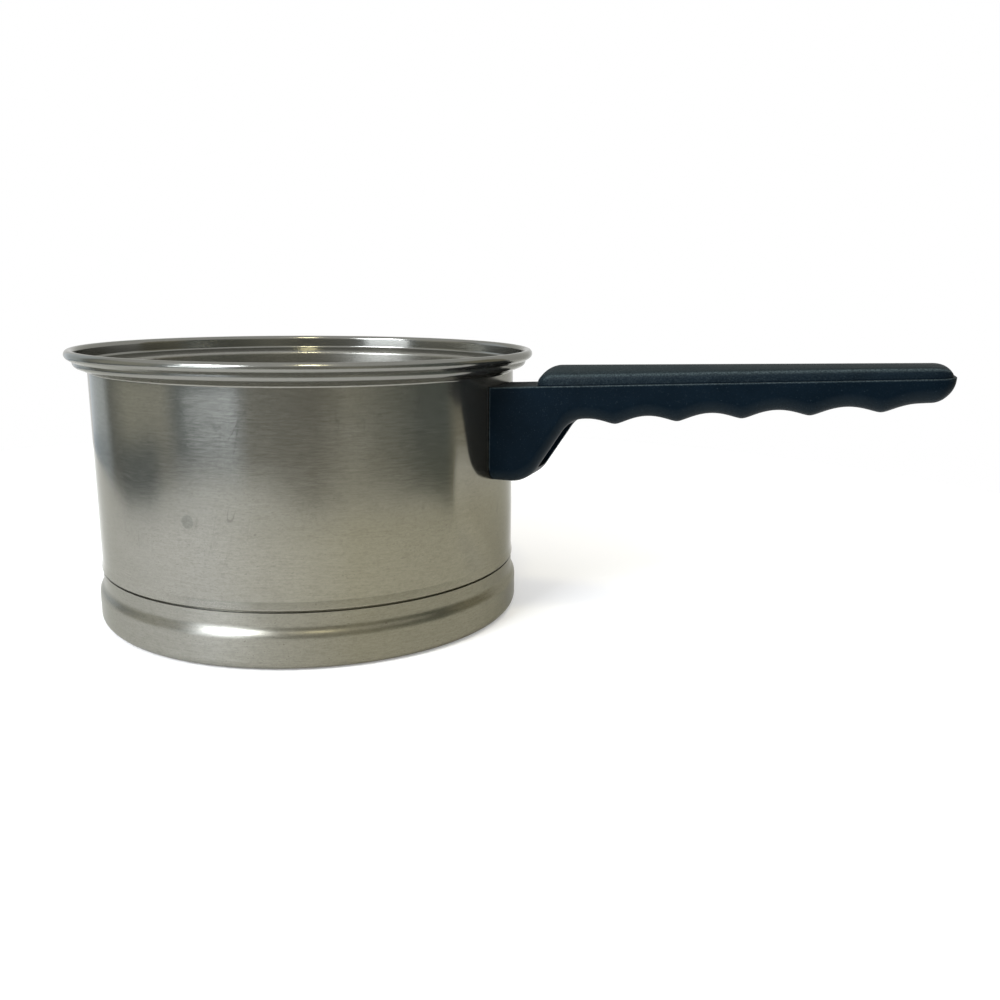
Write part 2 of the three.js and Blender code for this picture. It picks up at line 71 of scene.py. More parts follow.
def bent_line(corners, step=math.radians(9), longest=4 * MM):
    """Line through corners (x, z, bend radius). Each bend is the arc tangent to both sides, its centre
    being corner + (back + ahead) / |back + ahead| * bend / cos(half turn), and each straight stretch
    is divided so that no step is longer than the given length."""
    places = [np.array(corner[:2], float) for corner in corners]
    bends = [corner[2] if len(corner) > 2 else 0 for corner in corners]
    parts = []
    for i, (corner, bend) in enumerate(zip(places, bends)):
        if not bend:
            parts.append(corner[None])
            continue
        back, ahead = places[i - 1] - corner, places[i + 1] - corner
        back, ahead = back / np.linalg.norm(back), ahead / np.linalg.norm(ahead)
        half = (math.pi - math.acos(back @ ahead)) / 2
        middle = (back + ahead) / np.linalg.norm(back + ahead)
        centre = corner + middle * bend / math.cos(half)
        spoke = corner + back * bend * math.tan(half) - centre
        side = -math.copysign(1, back[0] * ahead[1] - back[1] * ahead[0])
        turn = side * np.linspace(0, 2 * half, max(2, math.ceil(2 * half / step) + 1))
        across = np.array([-spoke[1], spoke[0]])
        parts.append(centre + np.cos(turn)[:, None] * spoke + np.sin(turn)[:, None] * across)
    points = np.concatenate(parts)
    same_point = 1e-8
    apart = np.linalg.norm(np.diff(points, axis=0), axis=1) > same_point
    points = points[np.append(True, apart)]
    lengths = np.linalg.norm(np.diff(points, axis=0), axis=1)
    counts = np.maximum(1, np.ceil(lengths / longest - 1e-6)).astype(int)
    starts = np.repeat(np.arange(len(counts)), counts)
    share = (np.arange(counts.sum()) - np.repeat(np.cumsum(counts) - counts, counts)) / counts[starts]
    fine = points[starts] + share[:, None] * (points[starts + 1] - points[starts])
    return np.concatenate([fine, points[-1:]])


def moved_sideways(points, distance):
    """The line moved to the right of its direction, each point along the mitre of its two sides."""
    along = np.diff(points, axis=0)
    along /= np.linalg.norm(along, axis=1)[:, None]
    before, after = np.vstack([along[:1], along]), np.vstack([along, along[-1:]])
    mitre = before + after
    mitre /= np.linalg.norm(mitre, axis=1)[:, None]
    stretch = np.sum(mitre * before, axis=1)
    return points + np.stack([mitre[:, 1], -mitre[:, 0]], 1) * (distance / stretch)[:, None]


def sheet_outline(middle, thickness):
    """Both faces of a bent sheet round its middle line, out along one and back along the other."""
    return np.concatenate([
        moved_sideways(middle, thickness / 2),
        moved_sideways(middle, -thickness / 2)[::-1],
    ])


def skinned(name, grid, along):
    """Closed skin over a grid of points. Rows follow one another along the piece, each row is a loop,
    and the first and the last row are closed by fans to their middles.
    UV: u runs round a row from 0 to 1, and v is the given length along the rows, in metres."""
    rows, columns = grid.shape[:2]
    ids = np.arange(rows * columns).reshape(rows, columns)
    lower, upper = ids[:-1], ids[1:]
    quads = np.stack([lower, np.roll(lower, -1, 1), np.roll(upper, -1, 1), upper], -1).reshape(-1, 4)
    u0 = np.broadcast_to(np.arange(columns) / columns, lower.shape)
    u1 = u0 + 1 / columns
    v0 = np.broadcast_to(along[:-1, None], lower.shape)
    v1 = np.broadcast_to(along[1:, None], lower.shape)
    quad_uv = np.stack([np.stack(pair, -1) for pair in ((u0, v0), (u1, v0), (u1, v1), (u0, v1))], 2)
    first, last, middle = ids[0], ids[-1], rows * columns
    fans = np.concatenate([
        np.stack([np.roll(first, -1), first, np.full(columns, middle)], 1),
        np.stack([last, np.roll(last, -1), np.full(columns, middle + 1)], 1),
    ])
    fan_uv = np.stack([np.tile(np.repeat(u0[0], 3), 2), np.repeat(along[[0, -1]], 3 * columns)], 1)
    points = np.concatenate([grid.reshape(-1, 3), [grid[0].mean(0), grid[-1].mean(0)]])
    uv = np.concatenate([quad_uv.reshape(-1, 2), fan_uv])
    mesh = bpy.data.meshes.new(name)
    mesh.from_pydata(points.tolist(), [], quads.tolist() + fans.tolist())
    layer = mesh.uv_layers.new(name="UVMap")
    layer.data.foreach_set("uv", uv.astype(np.float32).ravel())
    mesh.shade_smooth()
    mesh.set_sharp_from_angle(angle=SHARP_EDGE)
    piece = bpy.data.objects.new(name, mesh)
    bpy.context.scene.collection.objects.link(piece)
    return piece


def turned(name, outline, turns):
    """Surface of revolution: point (r, z) of the outline at angle a lies at (r cos a, r sin a, z)."""
    angle = np.linspace(0, 2 * math.pi, turns, endpoint=False)
    radius, height = outline[:, :1], outline[:, 1:]
    grid = np.stack([radius * np.cos(angle), radius * np.sin(angle), height + 0 * angle], -1)
    lengths = np.linalg.norm(np.diff(outline, axis=0), axis=1)
    return skinned(name, grid, np.append(0, np.cumsum(lengths)))


def linear(hex_colour):
    """An sRGB hex colour as the linear colour that shaders take."""
    channels = np.array([int(hex_colour[i:i + 2], 16) for i in (1, 3, 5)]) / 255
    low, high = channels / 12.92, ((channels + 0.055) / 1.055) ** 2.4
    return (*np.where(channels <= 0.04045, low, high).tolist(), 1)


def node(tree, kind, inputs=None, **settings):
    """Adds a node, makes its settings, and links or sets each input by its name or number. Inputs 0 to 4
    of a Map Range are the value, the two ends of its own range and the two ends it is spread to."""
    made = tree.nodes.new(kind)
    for setting, value in settings.items():
        setattr(made, setting, value)
    for socket, value in (inputs or {}).items():
        if isinstance(value, bpy.types.NodeSocket):
            tree.links.new(value, made.inputs[socket])
        else:
            made.inputs[socket].default_value = value
    return made


def empty_material(name):
    """A material with nothing but its output, and the tree to fill."""
    material = bpy.data.materials.new(name)
    material.use_nodes = True
    tree = material.node_tree
    tree.nodes.clear()
    return material, tree, node(tree, "ShaderNodeOutputMaterial")


def brushed_steel(name):
    """Stainless sheet, brushed round the pan's axis. Fine lines run round the pan, so reflections smear
    up and down. Buffed places are a cleaner grey, scoured ones are duller. Use has left nicks, blotches,
    leaning hair scratches and one round water spot. Low on the handle's side the sheet is painted darker
    and straw-coloured, a painted shade."""
    line = 0.5 * MM  # real grit lines are about 0.1 mm, drawn coarser so that they show
    streak = 5.5 * MM
    grain_length, grain_height = 1.4 * MM, 0.7 * MM  # pits and nicks of years of scouring, drawn coarser
    blotch = 28 * MM
    dent = 45 * MM  # the drawn sheet is never quite round, so mirrored edges wander
    scratch_pitch, scratch_length = 5 * MM, 60 * MM
    scratch_lean = (0, 0.24, 0.52)
    water_spot = Vector((0.3, -84.4, 51.8)) * MM
    material, tree, output = empty_material(name)
    place = node(tree, "ShaderNodeTexCoord").outputs["Object"]
    x, y, z = node(tree, "ShaderNodeSeparateXYZ", {0: place}).outputs
    strip = node(tree, "ShaderNodeUVMap").outputs[0]
    along = node(tree, "ShaderNodeSeparateXYZ", {0: strip}).outputs[1]
    scaled = [
        node(tree, "ShaderNodeMath", {0: value, 1: 1 / size}, operation="MULTIPLY").outputs[0]
        for value, size in ((x, streak), (y, streak), (along, line))
    ]
    brushing = node(tree, "ShaderNodeTexNoise", {
        "Vector": node(tree, "ShaderNodeCombineXYZ", dict(enumerate(scaled))).outputs[0],
        "Scale": 1, "Detail": 3, "Roughness": 0.6,
    }).outputs[0]
    grains = node(tree, "ShaderNodeTexNoise", {
        "Vector": node(tree, "ShaderNodeMapping", {
            "Vector": place, "Scale": (1 / grain_length, 1 / grain_length, 1 / grain_height),
        }).outputs[0],
        "Scale": 1, "Detail": 2, "Roughness": 0.7,
    }).outputs[0]
    blotches = node(tree, "ShaderNodeTexNoise", {
        "Vector": place, "Scale": 1 / blotch, "Detail": 4, "Roughness": 0.55,
    }).outputs[0]
    dents = node(tree, "ShaderNodeTexNoise", {
        "Vector": place, "Scale": 1 / dent, "Detail": 1,
    }).outputs[0]
    hairs = node(tree, "ShaderNodeTexNoise", {
        "Vector": node(tree, "ShaderNodeMapping", {
            "Vector": place, "Rotation": scratch_lean,
            "Scale": (scratch_pitch, scratch_pitch, scratch_length),
        }, vector_type="TEXTURE").outputs[0],
        "Scale": 1, "Detail": 1,
    }).outputs[0]
    # A scratch lies where its noise crosses one half, in the worn patches, and more of them high up.
    scratch = node(tree, "ShaderNodeMapRange", {0: hairs, 1: 0.492, 2: 0.5, 3: 0, 4: 1}).outputs[0]
    for value, low, high, at_low, at_high in (
        (hairs, 0.5, 0.508, 1, 0), (blotches, 0.48, 0.66, 0, 1), (z, 30 * MM, 45 * MM, 0.2, 1),
    ):
        share = node(tree, "ShaderNodeMapRange", {0: value, 1: low, 2: high, 3: at_low, 4: at_high})
        scratch = node(tree, "ShaderNodeMath", {
            0: scratch, 1: share.outputs[0],
        }, operation="MULTIPLY").outputs[0]
    buffed = node(tree, "ShaderNodeAttribute", attribute_name="buffed").outputs["Fac"]
    scoured = node(tree, "ShaderNodeAttribute", attribute_name="scoured").outputs["Fac"]
    # Painted shade low on the handle's side: a darker straw tint, multiplied into the tone below.
    side_shade_share = node(tree, "ShaderNodeAttribute", attribute_name="painted_side_shade").outputs["Fac"]
    satin = node(tree, "ShaderNodeMapRange", {0: brushing, 1: 0.25, 2: 0.75, 3: 0.12, 4: 0.155})
    cloudy = node(tree, "ShaderNodeMapRange", {0: blotches, 1: 0.3, 2: 0.7, 3: -0.01, 4: 0.03})
    satin = node(tree, "ShaderNodeMath", {0: satin.outputs[0], 1: cloudy.outputs[0]}, operation="ADD")
    roughness = node(tree, "ShaderNodeMix", {"Factor": buffed, "A": satin.outputs[0], "B": 0.19})
    roughness = node(tree, "ShaderNodeMath", {
        0: scoured, 1: 0.2, 2: roughness.outputs[0],
    }, operation="MULTIPLY_ADD").outputs[0]
    scratched = node(tree, "ShaderNodeMath", {0: scratch, 1: 0.5}, operation="MULTIPLY").outputs[0]
    grainy = node(tree, "ShaderNodeMapRange", {0: grains, 1: 0.3, 2: 0.7, 3: 0.87, 4: 1.1}).outputs[0]
    nicked = node(tree, "ShaderNodeMapRange", {0: grains, 1: 0.62, 2: 0.72, 3: 0, 4: 0.5}).outputs[0]
    from_spot = node(tree, "ShaderNodeVectorMath", {0: place, 1: water_spot}, operation="DISTANCE")
    spotted = node(tree, "ShaderNodeMapRange", {
        0: from_spot.outputs["Value"], 1: 2.2 * MM, 2: 2.6 * MM, 3: 1, 4: 0,
    }).outputs[0]
    cleaned = node(tree, "ShaderNodeMath", {0: buffed, 1: 0.8}, operation="MULTIPLY").outputs[0]
    tone = node(tree, "ShaderNodeMix", {
        "Factor": brushing, "A": linear("#7a7971"), "B": linear("#93928c"),
    }, data_type="RGBA").outputs["Result"]
    for share, colour, blend in (
        (scratched, linear("#4c4b45"), "MIX"),
        (1, grainy, "MULTIPLY"),
        (nicked, linear("#4c4b45"), "MIX"),
        (spotted, linear("#e6e8e8"), "MULTIPLY"),
        (cleaned, linear("#7a7a75"), "MIX"),
        (side_shade_share, linear("#e8e3cf"), "MULTIPLY"),
    ):
        tone = node(tree, "ShaderNodeMix", {
            "Factor": share, "A": tone, "B": colour,
        }, data_type="RGBA", blend_type=blend).outputs["Result"]
    height = node(tree, "ShaderNodeMath", {0: brushing, 1: buffed}, operation="SUBTRACT").outputs[0]
    wavy = node(tree, "ShaderNodeBump", {"Strength": 1, "Distance": 0.6 * MM, "Height": dents}).outputs[0]
    bump = node(tree, "ShaderNodeBump", {
        "Strength": 0.015, "Distance": 0.1 * MM, "Height": height, "Normal": wavy,
    }).outputs[0]
    tangent = node(tree, "ShaderNodeTangent", direction_type="UV_MAP").outputs[0]
    shader = node(tree, "ShaderNodeBsdfPrincipled", {
        "Base Color": tone, "Roughness": roughness, "Normal": bump, "Tangent": tangent,
        "Metallic": 0.94,  # the rest is the pale haze of fine scratches, which lifts the darks
        "Specular Tint": linear("#d2d2ce"), "Anisotropic": 0.65, "Anisotropic Rotation": 0.25,
    })
    tree.links.new(shader.outputs[0], output.inputs[0])
    return material


def mark(piece, name, values):
    """Stores one number for each vertex under a name that the material reads."""
    attribute = piece.data.attributes.new(name, "FLOAT", "POINT")
    attribute.data.foreach_set("value", values.astype(np.float32))


def vertices_of(piece):
    """All vertices of a piece as an array of points."""
    flat = np.empty(3 * len(piece.data.vertices), np.float32)
    piece.data.vertices.foreach_get("co", flat)
    return flat.reshape(-1, 3).astype(float)


def painted_side_shade(x, y, z):
    """Painted shade: low on the handle's side of the pan the sheet is painted darker and straw-coloured,
    as a share that fades with the angle from the handle beyond 50 degrees and with the height between 50 and
    85 mm."""
    turn = np.degrees(np.arctan2(y, x))
    beside = np.clip((85 - np.abs(turn)) / 35, 0, 1)
    low_down = np.clip((85 * MM - z) / (35 * MM), 0, 1)
    return beside * low_down


skirt, wall = SKIRT_RADIUS - SHEET / 2, WALL_RADIUS - SHEET / 2
collar, bead = wall + LEDGE_WIDTH, wall + LEDGE_WIDTH + BEAD_OVERHANG
pan_floor, shoulder = FLOOR_UNDERSIDE + SHEET / 2, SHOULDER_Z + SHEET / 2
ledge_top = LEDGE_Z + LEDGE_WIDTH * math.tan(LEDGE_SLOPE)
bead_top = ledge_top + COLLAR_HEIGHT - SHEET / 2
bead_edge = collar + SHEET / 2 + BEAD_SLIT + SHEET / 2 * math.sin(BEAD_TUCK)
vessel_line = bent_line([
    (AXIS_RING, pan_floor),
    (skirt, pan_floor, FLOOR_BEND),
    (skirt, shoulder, SHOULDER_BEND),
    (wall + SHOULDER_LIP, shoulder, SHOULDER_BEND),
    (wall, shoulder + SHOULDER_FADE, SHOULDER_FADE),
    (wall, LEDGE_Z, LEDGE_INNER_BEND),
    (collar, ledge_top, LEDGE_OUTER_BEND),
    (collar, bead_top, BEAD_OVERHANG / 2),
    (bead, bead_top, BEAD_OVERHANG / 2),
    (bead, bead_top - BEAD_SIDE, BEAD_OVERHANG / 2),
    (bead_edge, bead_top - BEAD_SIDE - (bead - bead_edge) * math.tan(BEAD_TUCK)),
])
vessel = turned("pan_vessel_skin", sheet_outline(vessel_line, SHEET), PAN_TURNS)
x, y, z = vertices_of(vessel).T
in_pan = (np.hypot(x, y) < wall + 0.1 * MM) & (z > pan_floor) & (z < LEDGE_Z)
mark(vessel, "buffed", np.clip((z - LEDGE_Z) / BUFFED_FADE, 0, 1))
mark(vessel, "scoured", 1.0 * in_pan)
# Painted shade: darker and straw-coloured low on the handle's side.
mark(vessel, "painted_side_shade", painted_side_shade(x, y, z))
satin_steel = brushed_steel("stainless_steel_brushed")
vessel.data.materials.append(satin_steel)
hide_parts("pan_vessel")
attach(vessel, "root")

# Heat core
# A cast aluminium disc, brazed between the pan's floor and the base cap and closed in by both.
# Nothing of it shows; it is left as cut, dull grey with the faint grain of the casting.


def plain_metal(name, dark, light, grain, rough, rougher):
    """Bare or plated metal: two close greys and a roughness that follow one cloudy grain."""
    material, tree, output = empty_material(name)
    cloud = node(tree, "ShaderNodeTexNoise", {
        "Vector": node(tree, "ShaderNodeTexCoord").outputs["Object"],
        "Scale": 1 / grain, "Detail": 5, "Roughness": 0.6,
    })
    tone = node(tree, "ShaderNodeMix", {
        "Factor": cloud.outputs[0], "A": linear(dark), "B": linear(light),
    }, data_type="RGBA")
    roughness = node(tree, "ShaderNodeMapRange", {0: cloud.outputs[0], 1: 0.3, 2: 0.7, 3: rough, 4: rougher})
    bump = node(tree, "ShaderNodeBump", {"Strength": 0.1, "Distance": 0.05 * MM, "Height": cloud.outputs[0]})
    shader = node(tree, "ShaderNodeBsdfPrincipled", {
        "Base Color": tone.outputs["Result"], "Metallic": 1,
        "Roughness": roughness.outputs[0], "Normal": bump.outputs[0],
    })
    tree.links.new(shader.outputs[0], output.inputs[0])
    return material


def dress(name, material):
    """Gives a carried-over solid its material."""
    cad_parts[name].data.materials.clear()
    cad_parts[name].data.materials.append(material)


dress("heat_core", plain_metal("aluminium_cast", "#b4b6b8", "#c8cacc", 3 * MM, 0.42, 0.6))

# Base cap
# The outer cup of the capsule base, pressed from thinner stainless sheet with one S-shaped step and
# drawn up over the core to a fine seam under the pan's shoulder. Satin, and duller than the wall.
CAP_SHEET = 0.8 * MM
CAP_STEP = 1.7 * MM
FOOT_BEND = 3.1 * MM
SEAM_GAP = 0.65 * MM
UPPER_BAND = 4.5 * MM
STEP_HEIGHT = 4.9 * MM
CAP_SCOURING = 0.8  # next to 1 for the inside of the pan
cap_top = SHOULDER_Z - SEAM_GAP
step_middle = cap_top - UPPER_BAND - STEP_HEIGHT / 2
step_bend = (STEP_HEIGHT ** 2 + CAP_STEP ** 2) / (4 * CAP_STEP)
step_rise = CAP_STEP / 2 / math.tan(math.asin(STEP_HEIGHT / (2 * step_bend)))
band = WALL_RADIUS - CAP_SHEET / 2
cap_line = bent_line([
    (AXIS_RING, CAP_SHEET / 2),
    (band + CAP_STEP, CAP_SHEET / 2, FOOT_BEND),
    (band + CAP_STEP, step_middle - step_rise, step_bend),
    (band, step_middle + step_rise, step_bend),
    (band, cap_top),
], step=math.radians(4), longest=3 * MM)
cap = turned("base_cap_skin", sheet_outline(cap_line, CAP_SHEET), PAN_TURNS)
x, y, z = vertices_of(cap).T
mark(cap, "scoured", np.full(len(z), CAP_SCOURING))
# Painted shade: darker and straw-coloured low on the handle's side.
mark(cap, "painted_side_shade", painted_side_shade(x, y, z))
cap.data.materials.append(satin_steel)
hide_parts("base_cap")
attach(cap, "root")

# Handle bracket and nut
# A stamped steel hat, spot-welded to the wall inside the root of the grip, and the square nut behind
# its face. Both are zinc-plated and pale grey.
zinc = plain_metal("steel_zinc_plated", "#8e908e", "#aeb0ad", 1.5 * MM, 0.3, 0.45)
dress("handle_bracket", zinc)
dress("bracket_nut", zinc)

# Handle grip
# One phenolic moulding, blue-black. Its lower half has five finger ridges, a deep root against the
# wall and an open pocket for the screw; above the mould line a narrower crown runs to the tip.
MOULD_Z = 94.6 * MM  # mould line at the wall
GRIP_TILT = math.radians(3.4)
GRIP_REACH = 158.5 * MM
GRIP_WIDTH = 24.8 * MM
GRIP_NARROWING = 0.8 * MM
GRIP_EDGE = 6 * MM
LIP = 0.3 * MM  # rounding of the land's outer edge
TIP_CORNER = 7.5 * MM
TIP_ROUND = 7.3 * MM
TIP_EDGE = 0.9 * MM
ROOT_DEPTH = 36 * MM
HEEL_REACH = 13 * MM
HEEL_BEND = 12 * MM
SLANT = math.radians(57)
KNEE_BEND = 11 * MM
FIRST_RIDGE = 46.5 * MM
RIDGE_PITCH = 22.5 * MM
RIDGE_COUNT = 5
RIDGE_DEPTH = 14.6 * MM
RIDGE_LOSS = 3.45 * MM
GROOVE_DEPTH = 2.4 * MM
RIDGE_SOFTNESS = 0.2
CROWN_SETBACK = 16 * MM
CROWN_LAND = 1 * MM
CROWN_HEIGHT = 7.2 * MM
CROWN_LOSS = 3 * MM
CROWN_SIDE = 3.6 * MM
CROWN_EDGE = 2.2 * MM
NOSE_LENGTH = 8 * MM
NOSE_CORNER = 7 * MM
TAIL_LENGTH = 6 * MM
WALL_GAP = 0.3 * MM
tip_x = WALL_RADIUS + GRIP_REACH
crown_front, crown_end = WALL_RADIUS + CROWN_SETBACK, tip_x - CROWN_LAND


def mould_line(x):
    """Height of the mould line: it climbs from the wall to the tip at a steady slope."""
    return MOULD_Z + (x - WALL_RADIUS) * math.tan(GRIP_TILT)


def groove_depth(x):
    """Depth of the underside below the mould line: ridge depth less a soft |sin| arch between ridges,
    both growing shallower along the grip, and level past the last groove."""
    span = (RIDGE_COUNT - 1) * RIDGE_PITCH
    run = x - WALL_RADIUS - FIRST_RIDGE
    wave = np.sin(math.pi * np.minimum(run, span + RIDGE_PITCH / 2) / RIDGE_PITCH)
    arch = np.hypot(wave, RIDGE_SOFTNESS) - RIDGE_SOFTNESS
    full_arch = math.hypot(1, RIDGE_SOFTNESS) - RIDGE_SOFTNESS
    return RIDGE_DEPTH - RIDGE_LOSS * run / span - GROOVE_DEPTH * arch / full_arch


def underside(x):
    """Height of the underside: flat root, rounded heel, slant and knee, then the finger grooves, and a
    quarter ellipse up to the tip."""
    first_groove = WALL_RADIUS + FIRST_RIDGE - RIDGE_PITCH / 2
    knee_z = float(mould_line(first_groove) - groove_depth(np.array(first_groove)))
    root_z, heel_x = MOULD_Z - ROOT_DEPTH, WALL_RADIUS + HEEL_REACH
    knee_x = heel_x + (knee_z - root_z) / math.tan(SLANT)
    root = bent_line([
        (0, root_z), (heel_x, root_z, HEEL_BEND), (knee_x, knee_z, KNEE_BEND), (first_groove, knee_z),
    ], step=math.radians(2))
    tail = tip_x - TIP_ROUND
    past = np.clip((x - tail) / TIP_ROUND, 0, 1)
    depth = groove_depth(np.minimum(x, tail))
    depth = TIP_EDGE + (depth - TIP_EDGE) * np.sqrt(1 - past ** 2)
    return np.where(x < first_groove, np.interp(x, root[:, 0], root[:, 1]), mould_line(x) - depth)


def half_width(x, end, corner):
    """Half the grip's width: it narrows a little, and a corner radius rounds its end in plan."""
    half = (GRIP_WIDTH - GRIP_NARROWING * (x - WALL_RADIUS) / GRIP_REACH) / 2
    past = np.clip(x - (end - corner), 0, corner)
    return half - corner + np.sqrt(corner ** 2 - past ** 2)


def grip_grid():
    """Cross-sections of the grip at places along X. The half section runs from the middle of the
    underside out round the lower edge, up the side, over the lip and the land to the crown's foot,
    and up the crown's side and arch to its crest; the other half is its mirror image."""
    quarter = np.linspace(0, math.pi / 2, 28)
    x = np.unique(np.round(np.concatenate([
        np.arange(WALL_RADIUS + 2 * MM, tip_x - TIP_ROUND, 0.7 * MM),
        crown_front + NOSE_LENGTH * (1 - np.cos(quarter)),
        crown_front + np.array([-0.02, 0.003]) * MM,
        crown_end - TAIL_LENGTH * (1 - np.cos(quarter)),
        tip_x - TIP_ROUND * (1 - np.sin(quarter)),
        tip_x - TIP_CORNER * (1 - np.sin(quarter)),
    ]), 6))
    x = np.concatenate([[WALL_RADIUS + WALL_GAP, WALL_RADIUS + 1.2 * MM], x])
    top, bottom = mould_line(x), underside(x)
    half = half_width(x, tip_x, TIP_CORNER)
    edge = np.minimum(GRIP_EDGE, 0.95 * np.minimum(half, top - bottom))
    lip = np.minimum(LIP, 0.3 * (top - bottom))
    inset = np.clip(crown_front + NOSE_CORNER - x, 0, NOSE_CORNER)
    foot = half_width(np.minimum(x, crown_end), crown_end, TIP_CORNER - CROWN_LAND) - CROWN_LAND
    foot = foot - NOSE_CORNER + np.sqrt(NOSE_CORNER ** 2 - inset ** 2)
    foot = np.minimum(foot, half - lip - 0.1 * MM)
    nose = np.clip((x - crown_front) / NOSE_LENGTH, 0, 1)
    tail = np.clip((crown_end - x) / TAIL_LENGTH, 0, 1)
    rise = np.sqrt(1 - (1 - nose) ** 2) * np.sqrt(1 - (1 - tail) ** 2)
    height = (CROWN_HEIGHT - CROWN_LOSS * (x - crown_front) / (crown_end - crown_front)) * rise
    side = np.minimum(CROWN_SIDE * rise, 0.75 * height)
    round_edge = np.minimum(CROWN_EDGE, 0.6 * side)
    brow = side + 0.4 * (height - side)

    def column(values):
        return values[:, None]

    flat = np.linspace(0, 1, 8)[:-1]
    arc = np.linspace(0, math.pi / 2, 12)
    up = np.append(np.linspace(0, 1, 10)[1:-1], 1)
    lip_arc = np.linspace(0, math.pi / 2, 6)
    land = np.linspace(0, 1, 4)[1:]
    climb = np.linspace(0, 1, 7)[1:]
    bend = np.linspace(0, 1, 12)[1:]
    y_parts = [
        column(half - edge) * flat,
        column(half - edge) + column(edge) * np.sin(arc),
        column(half) + 0 * up,
        column(half - lip) + column(lip) * np.cos(lip_arc),
        column(half - lip) + column(foot - half + lip) * land,
        column(foot) + 0 * climb,
        column(foot) - column(round_edge) * bend ** 2,
        column(foot - round_edge) * (1 - bend),
    ]
    lower_side = top - 2 * lip - bottom - edge
    shoulder = (
        column(top + side - round_edge) * (1 - bend) ** 2
        + column(top + side) * 2 * bend * (1 - bend) + column(top + brow) * bend ** 2
    )
    z_parts = [
        column(bottom) + 0 * flat,
        column(bottom + edge) - column(edge) * np.cos(arc),
        column(bottom + edge) + column(lower_side) * up,
        column(top - lip) + column(lip) * np.sin(lip_arc),
        column(top) + 0 * land,
        column(top) + column(side - round_edge) * climb,
        shoulder,
        column(top + brow) + column(height - brow) * (1 - (1 - bend) ** 2),
    ]
    y, z = np.concatenate(y_parts, 1), np.concatenate(z_parts, 1)
    y = np.concatenate([y, -y[:, -2:0:-1]], 1)
    z = np.concatenate([z, z[:, -2:0:-1]], 1)
    x = column(x) + 0 * y
    drum = WALL_RADIUS + WALL_GAP
    x[:2] = np.sqrt(drum ** 2 - y[:2] ** 2) + np.array([[0], [0.5 * MM]])
    return np.stack([x, y, z], -1)


def rounded_block(name, low, high, bend):
    """Cutting block with rounded edges along X, from one corner to the other."""
    (x0, y0, z0), (x1, y1, z1) = low, high
    steps = 6
    quarter = np.linspace(-math.pi / 2, 0, steps)
    turn = np.repeat(np.arange(4), steps) * math.pi / 2 + np.tile(quarter, 4)
    corner_y = np.repeat([y1 - bend, y1 - bend, y0 + bend, y0 + bend], steps)
    corner_z = np.repeat([z0 + bend, z1 - bend, z1 - bend, z0 + bend], steps)
    y, z = corner_y + bend * np.cos(turn), corner_z + bend * np.sin(turn)
    ends = np.array([x0, x1])
    grid = np.stack([ends[:, None] + 0 * y, y + 0 * ends[:, None], z + 0 * ends[:, None]], -1)
    return skinned(name, grid, ends)


def cut_away(piece, cutters):
    """Subtracts closed cutters from a piece, keeps the result as its mesh and removes the cutters."""
    for cutter in cutters:
        cut = piece.modifiers.new("cut", "BOOLEAN")
        cut.object, cut.operation, cut.solver = cutter, "DIFFERENCE", "EXACT"
    bpy.context.view_layer.update()
    finished = piece.evaluated_get(bpy.context.evaluated_depsgraph_get())
    result = bpy.data.meshes.new_from_object(finished)
    piece.modifiers.clear()
    piece.data = result
    for cutter in cutters:
        bpy.data.objects.remove(cutter)


SCREW_Z = 72.75 * MM
BORE_RADIUS = 2.8 * MM
CAVITY_FIT = 0.4 * MM
POCKET_FLOOR = 96.9 * MM
POCKET_WIDTH = 11 * MM
POCKET_HEIGHT = 17.5 * MM
POCKET_BEND = 2 * MM
BRACKET_FACE = 91.5 * MM
BRACKET_WIDTH = 17 * MM
BRACKET_BOX = 16 * MM
BRACKET_FLANGE = 3.5 * MM
FLANGE_FACE = WALL_RADIUS + 1.5 * MM
box_half, box_up = BRACKET_WIDTH / 2 + CAVITY_FIT, BRACKET_BOX / 2 + CAVITY_FIT
flange_up = box_up + BRACKET_FLANGE
inside_wall = WALL_RADIUS - 4 * MM
grid = grip_grid()
grip = skinned("handle_grip_skin", grid, grid[:, 0, 0])
cut_away(grip, [
    rounded_block("pocket", (POCKET_FLOOR, -POCKET_WIDTH / 2, SCREW_Z - POCKET_HEIGHT / 2),
                  (tip_x, POCKET_WIDTH / 2, SCREW_Z + POCKET_HEIGHT / 2), POCKET_BEND),
    rounded_block("cavity", (inside_wall, -box_half, SCREW_Z - box_up),
                  (BRACKET_FACE + CAVITY_FIT, box_half, SCREW_Z + box_up), 0.5 * MM),
    rounded_block("flange_cavity", (inside_wall, -box_half, SCREW_Z - flange_up),
                  (FLANGE_FACE + CAVITY_FIT, box_half, SCREW_Z + flange_up), 0.5 * MM),
    rounded_block("bore", (BRACKET_FACE, -BORE_RADIUS, SCREW_Z - BORE_RADIUS),
                  (POCKET_FLOOR + MM, BORE_RADIUS, SCREW_Z + BORE_RADIUS), 0.999 * BORE_RADIUS),
])
grip.data.shade_smooth()
grip.data.set_sharp_from_angle(angle=SHARP_EDGE)


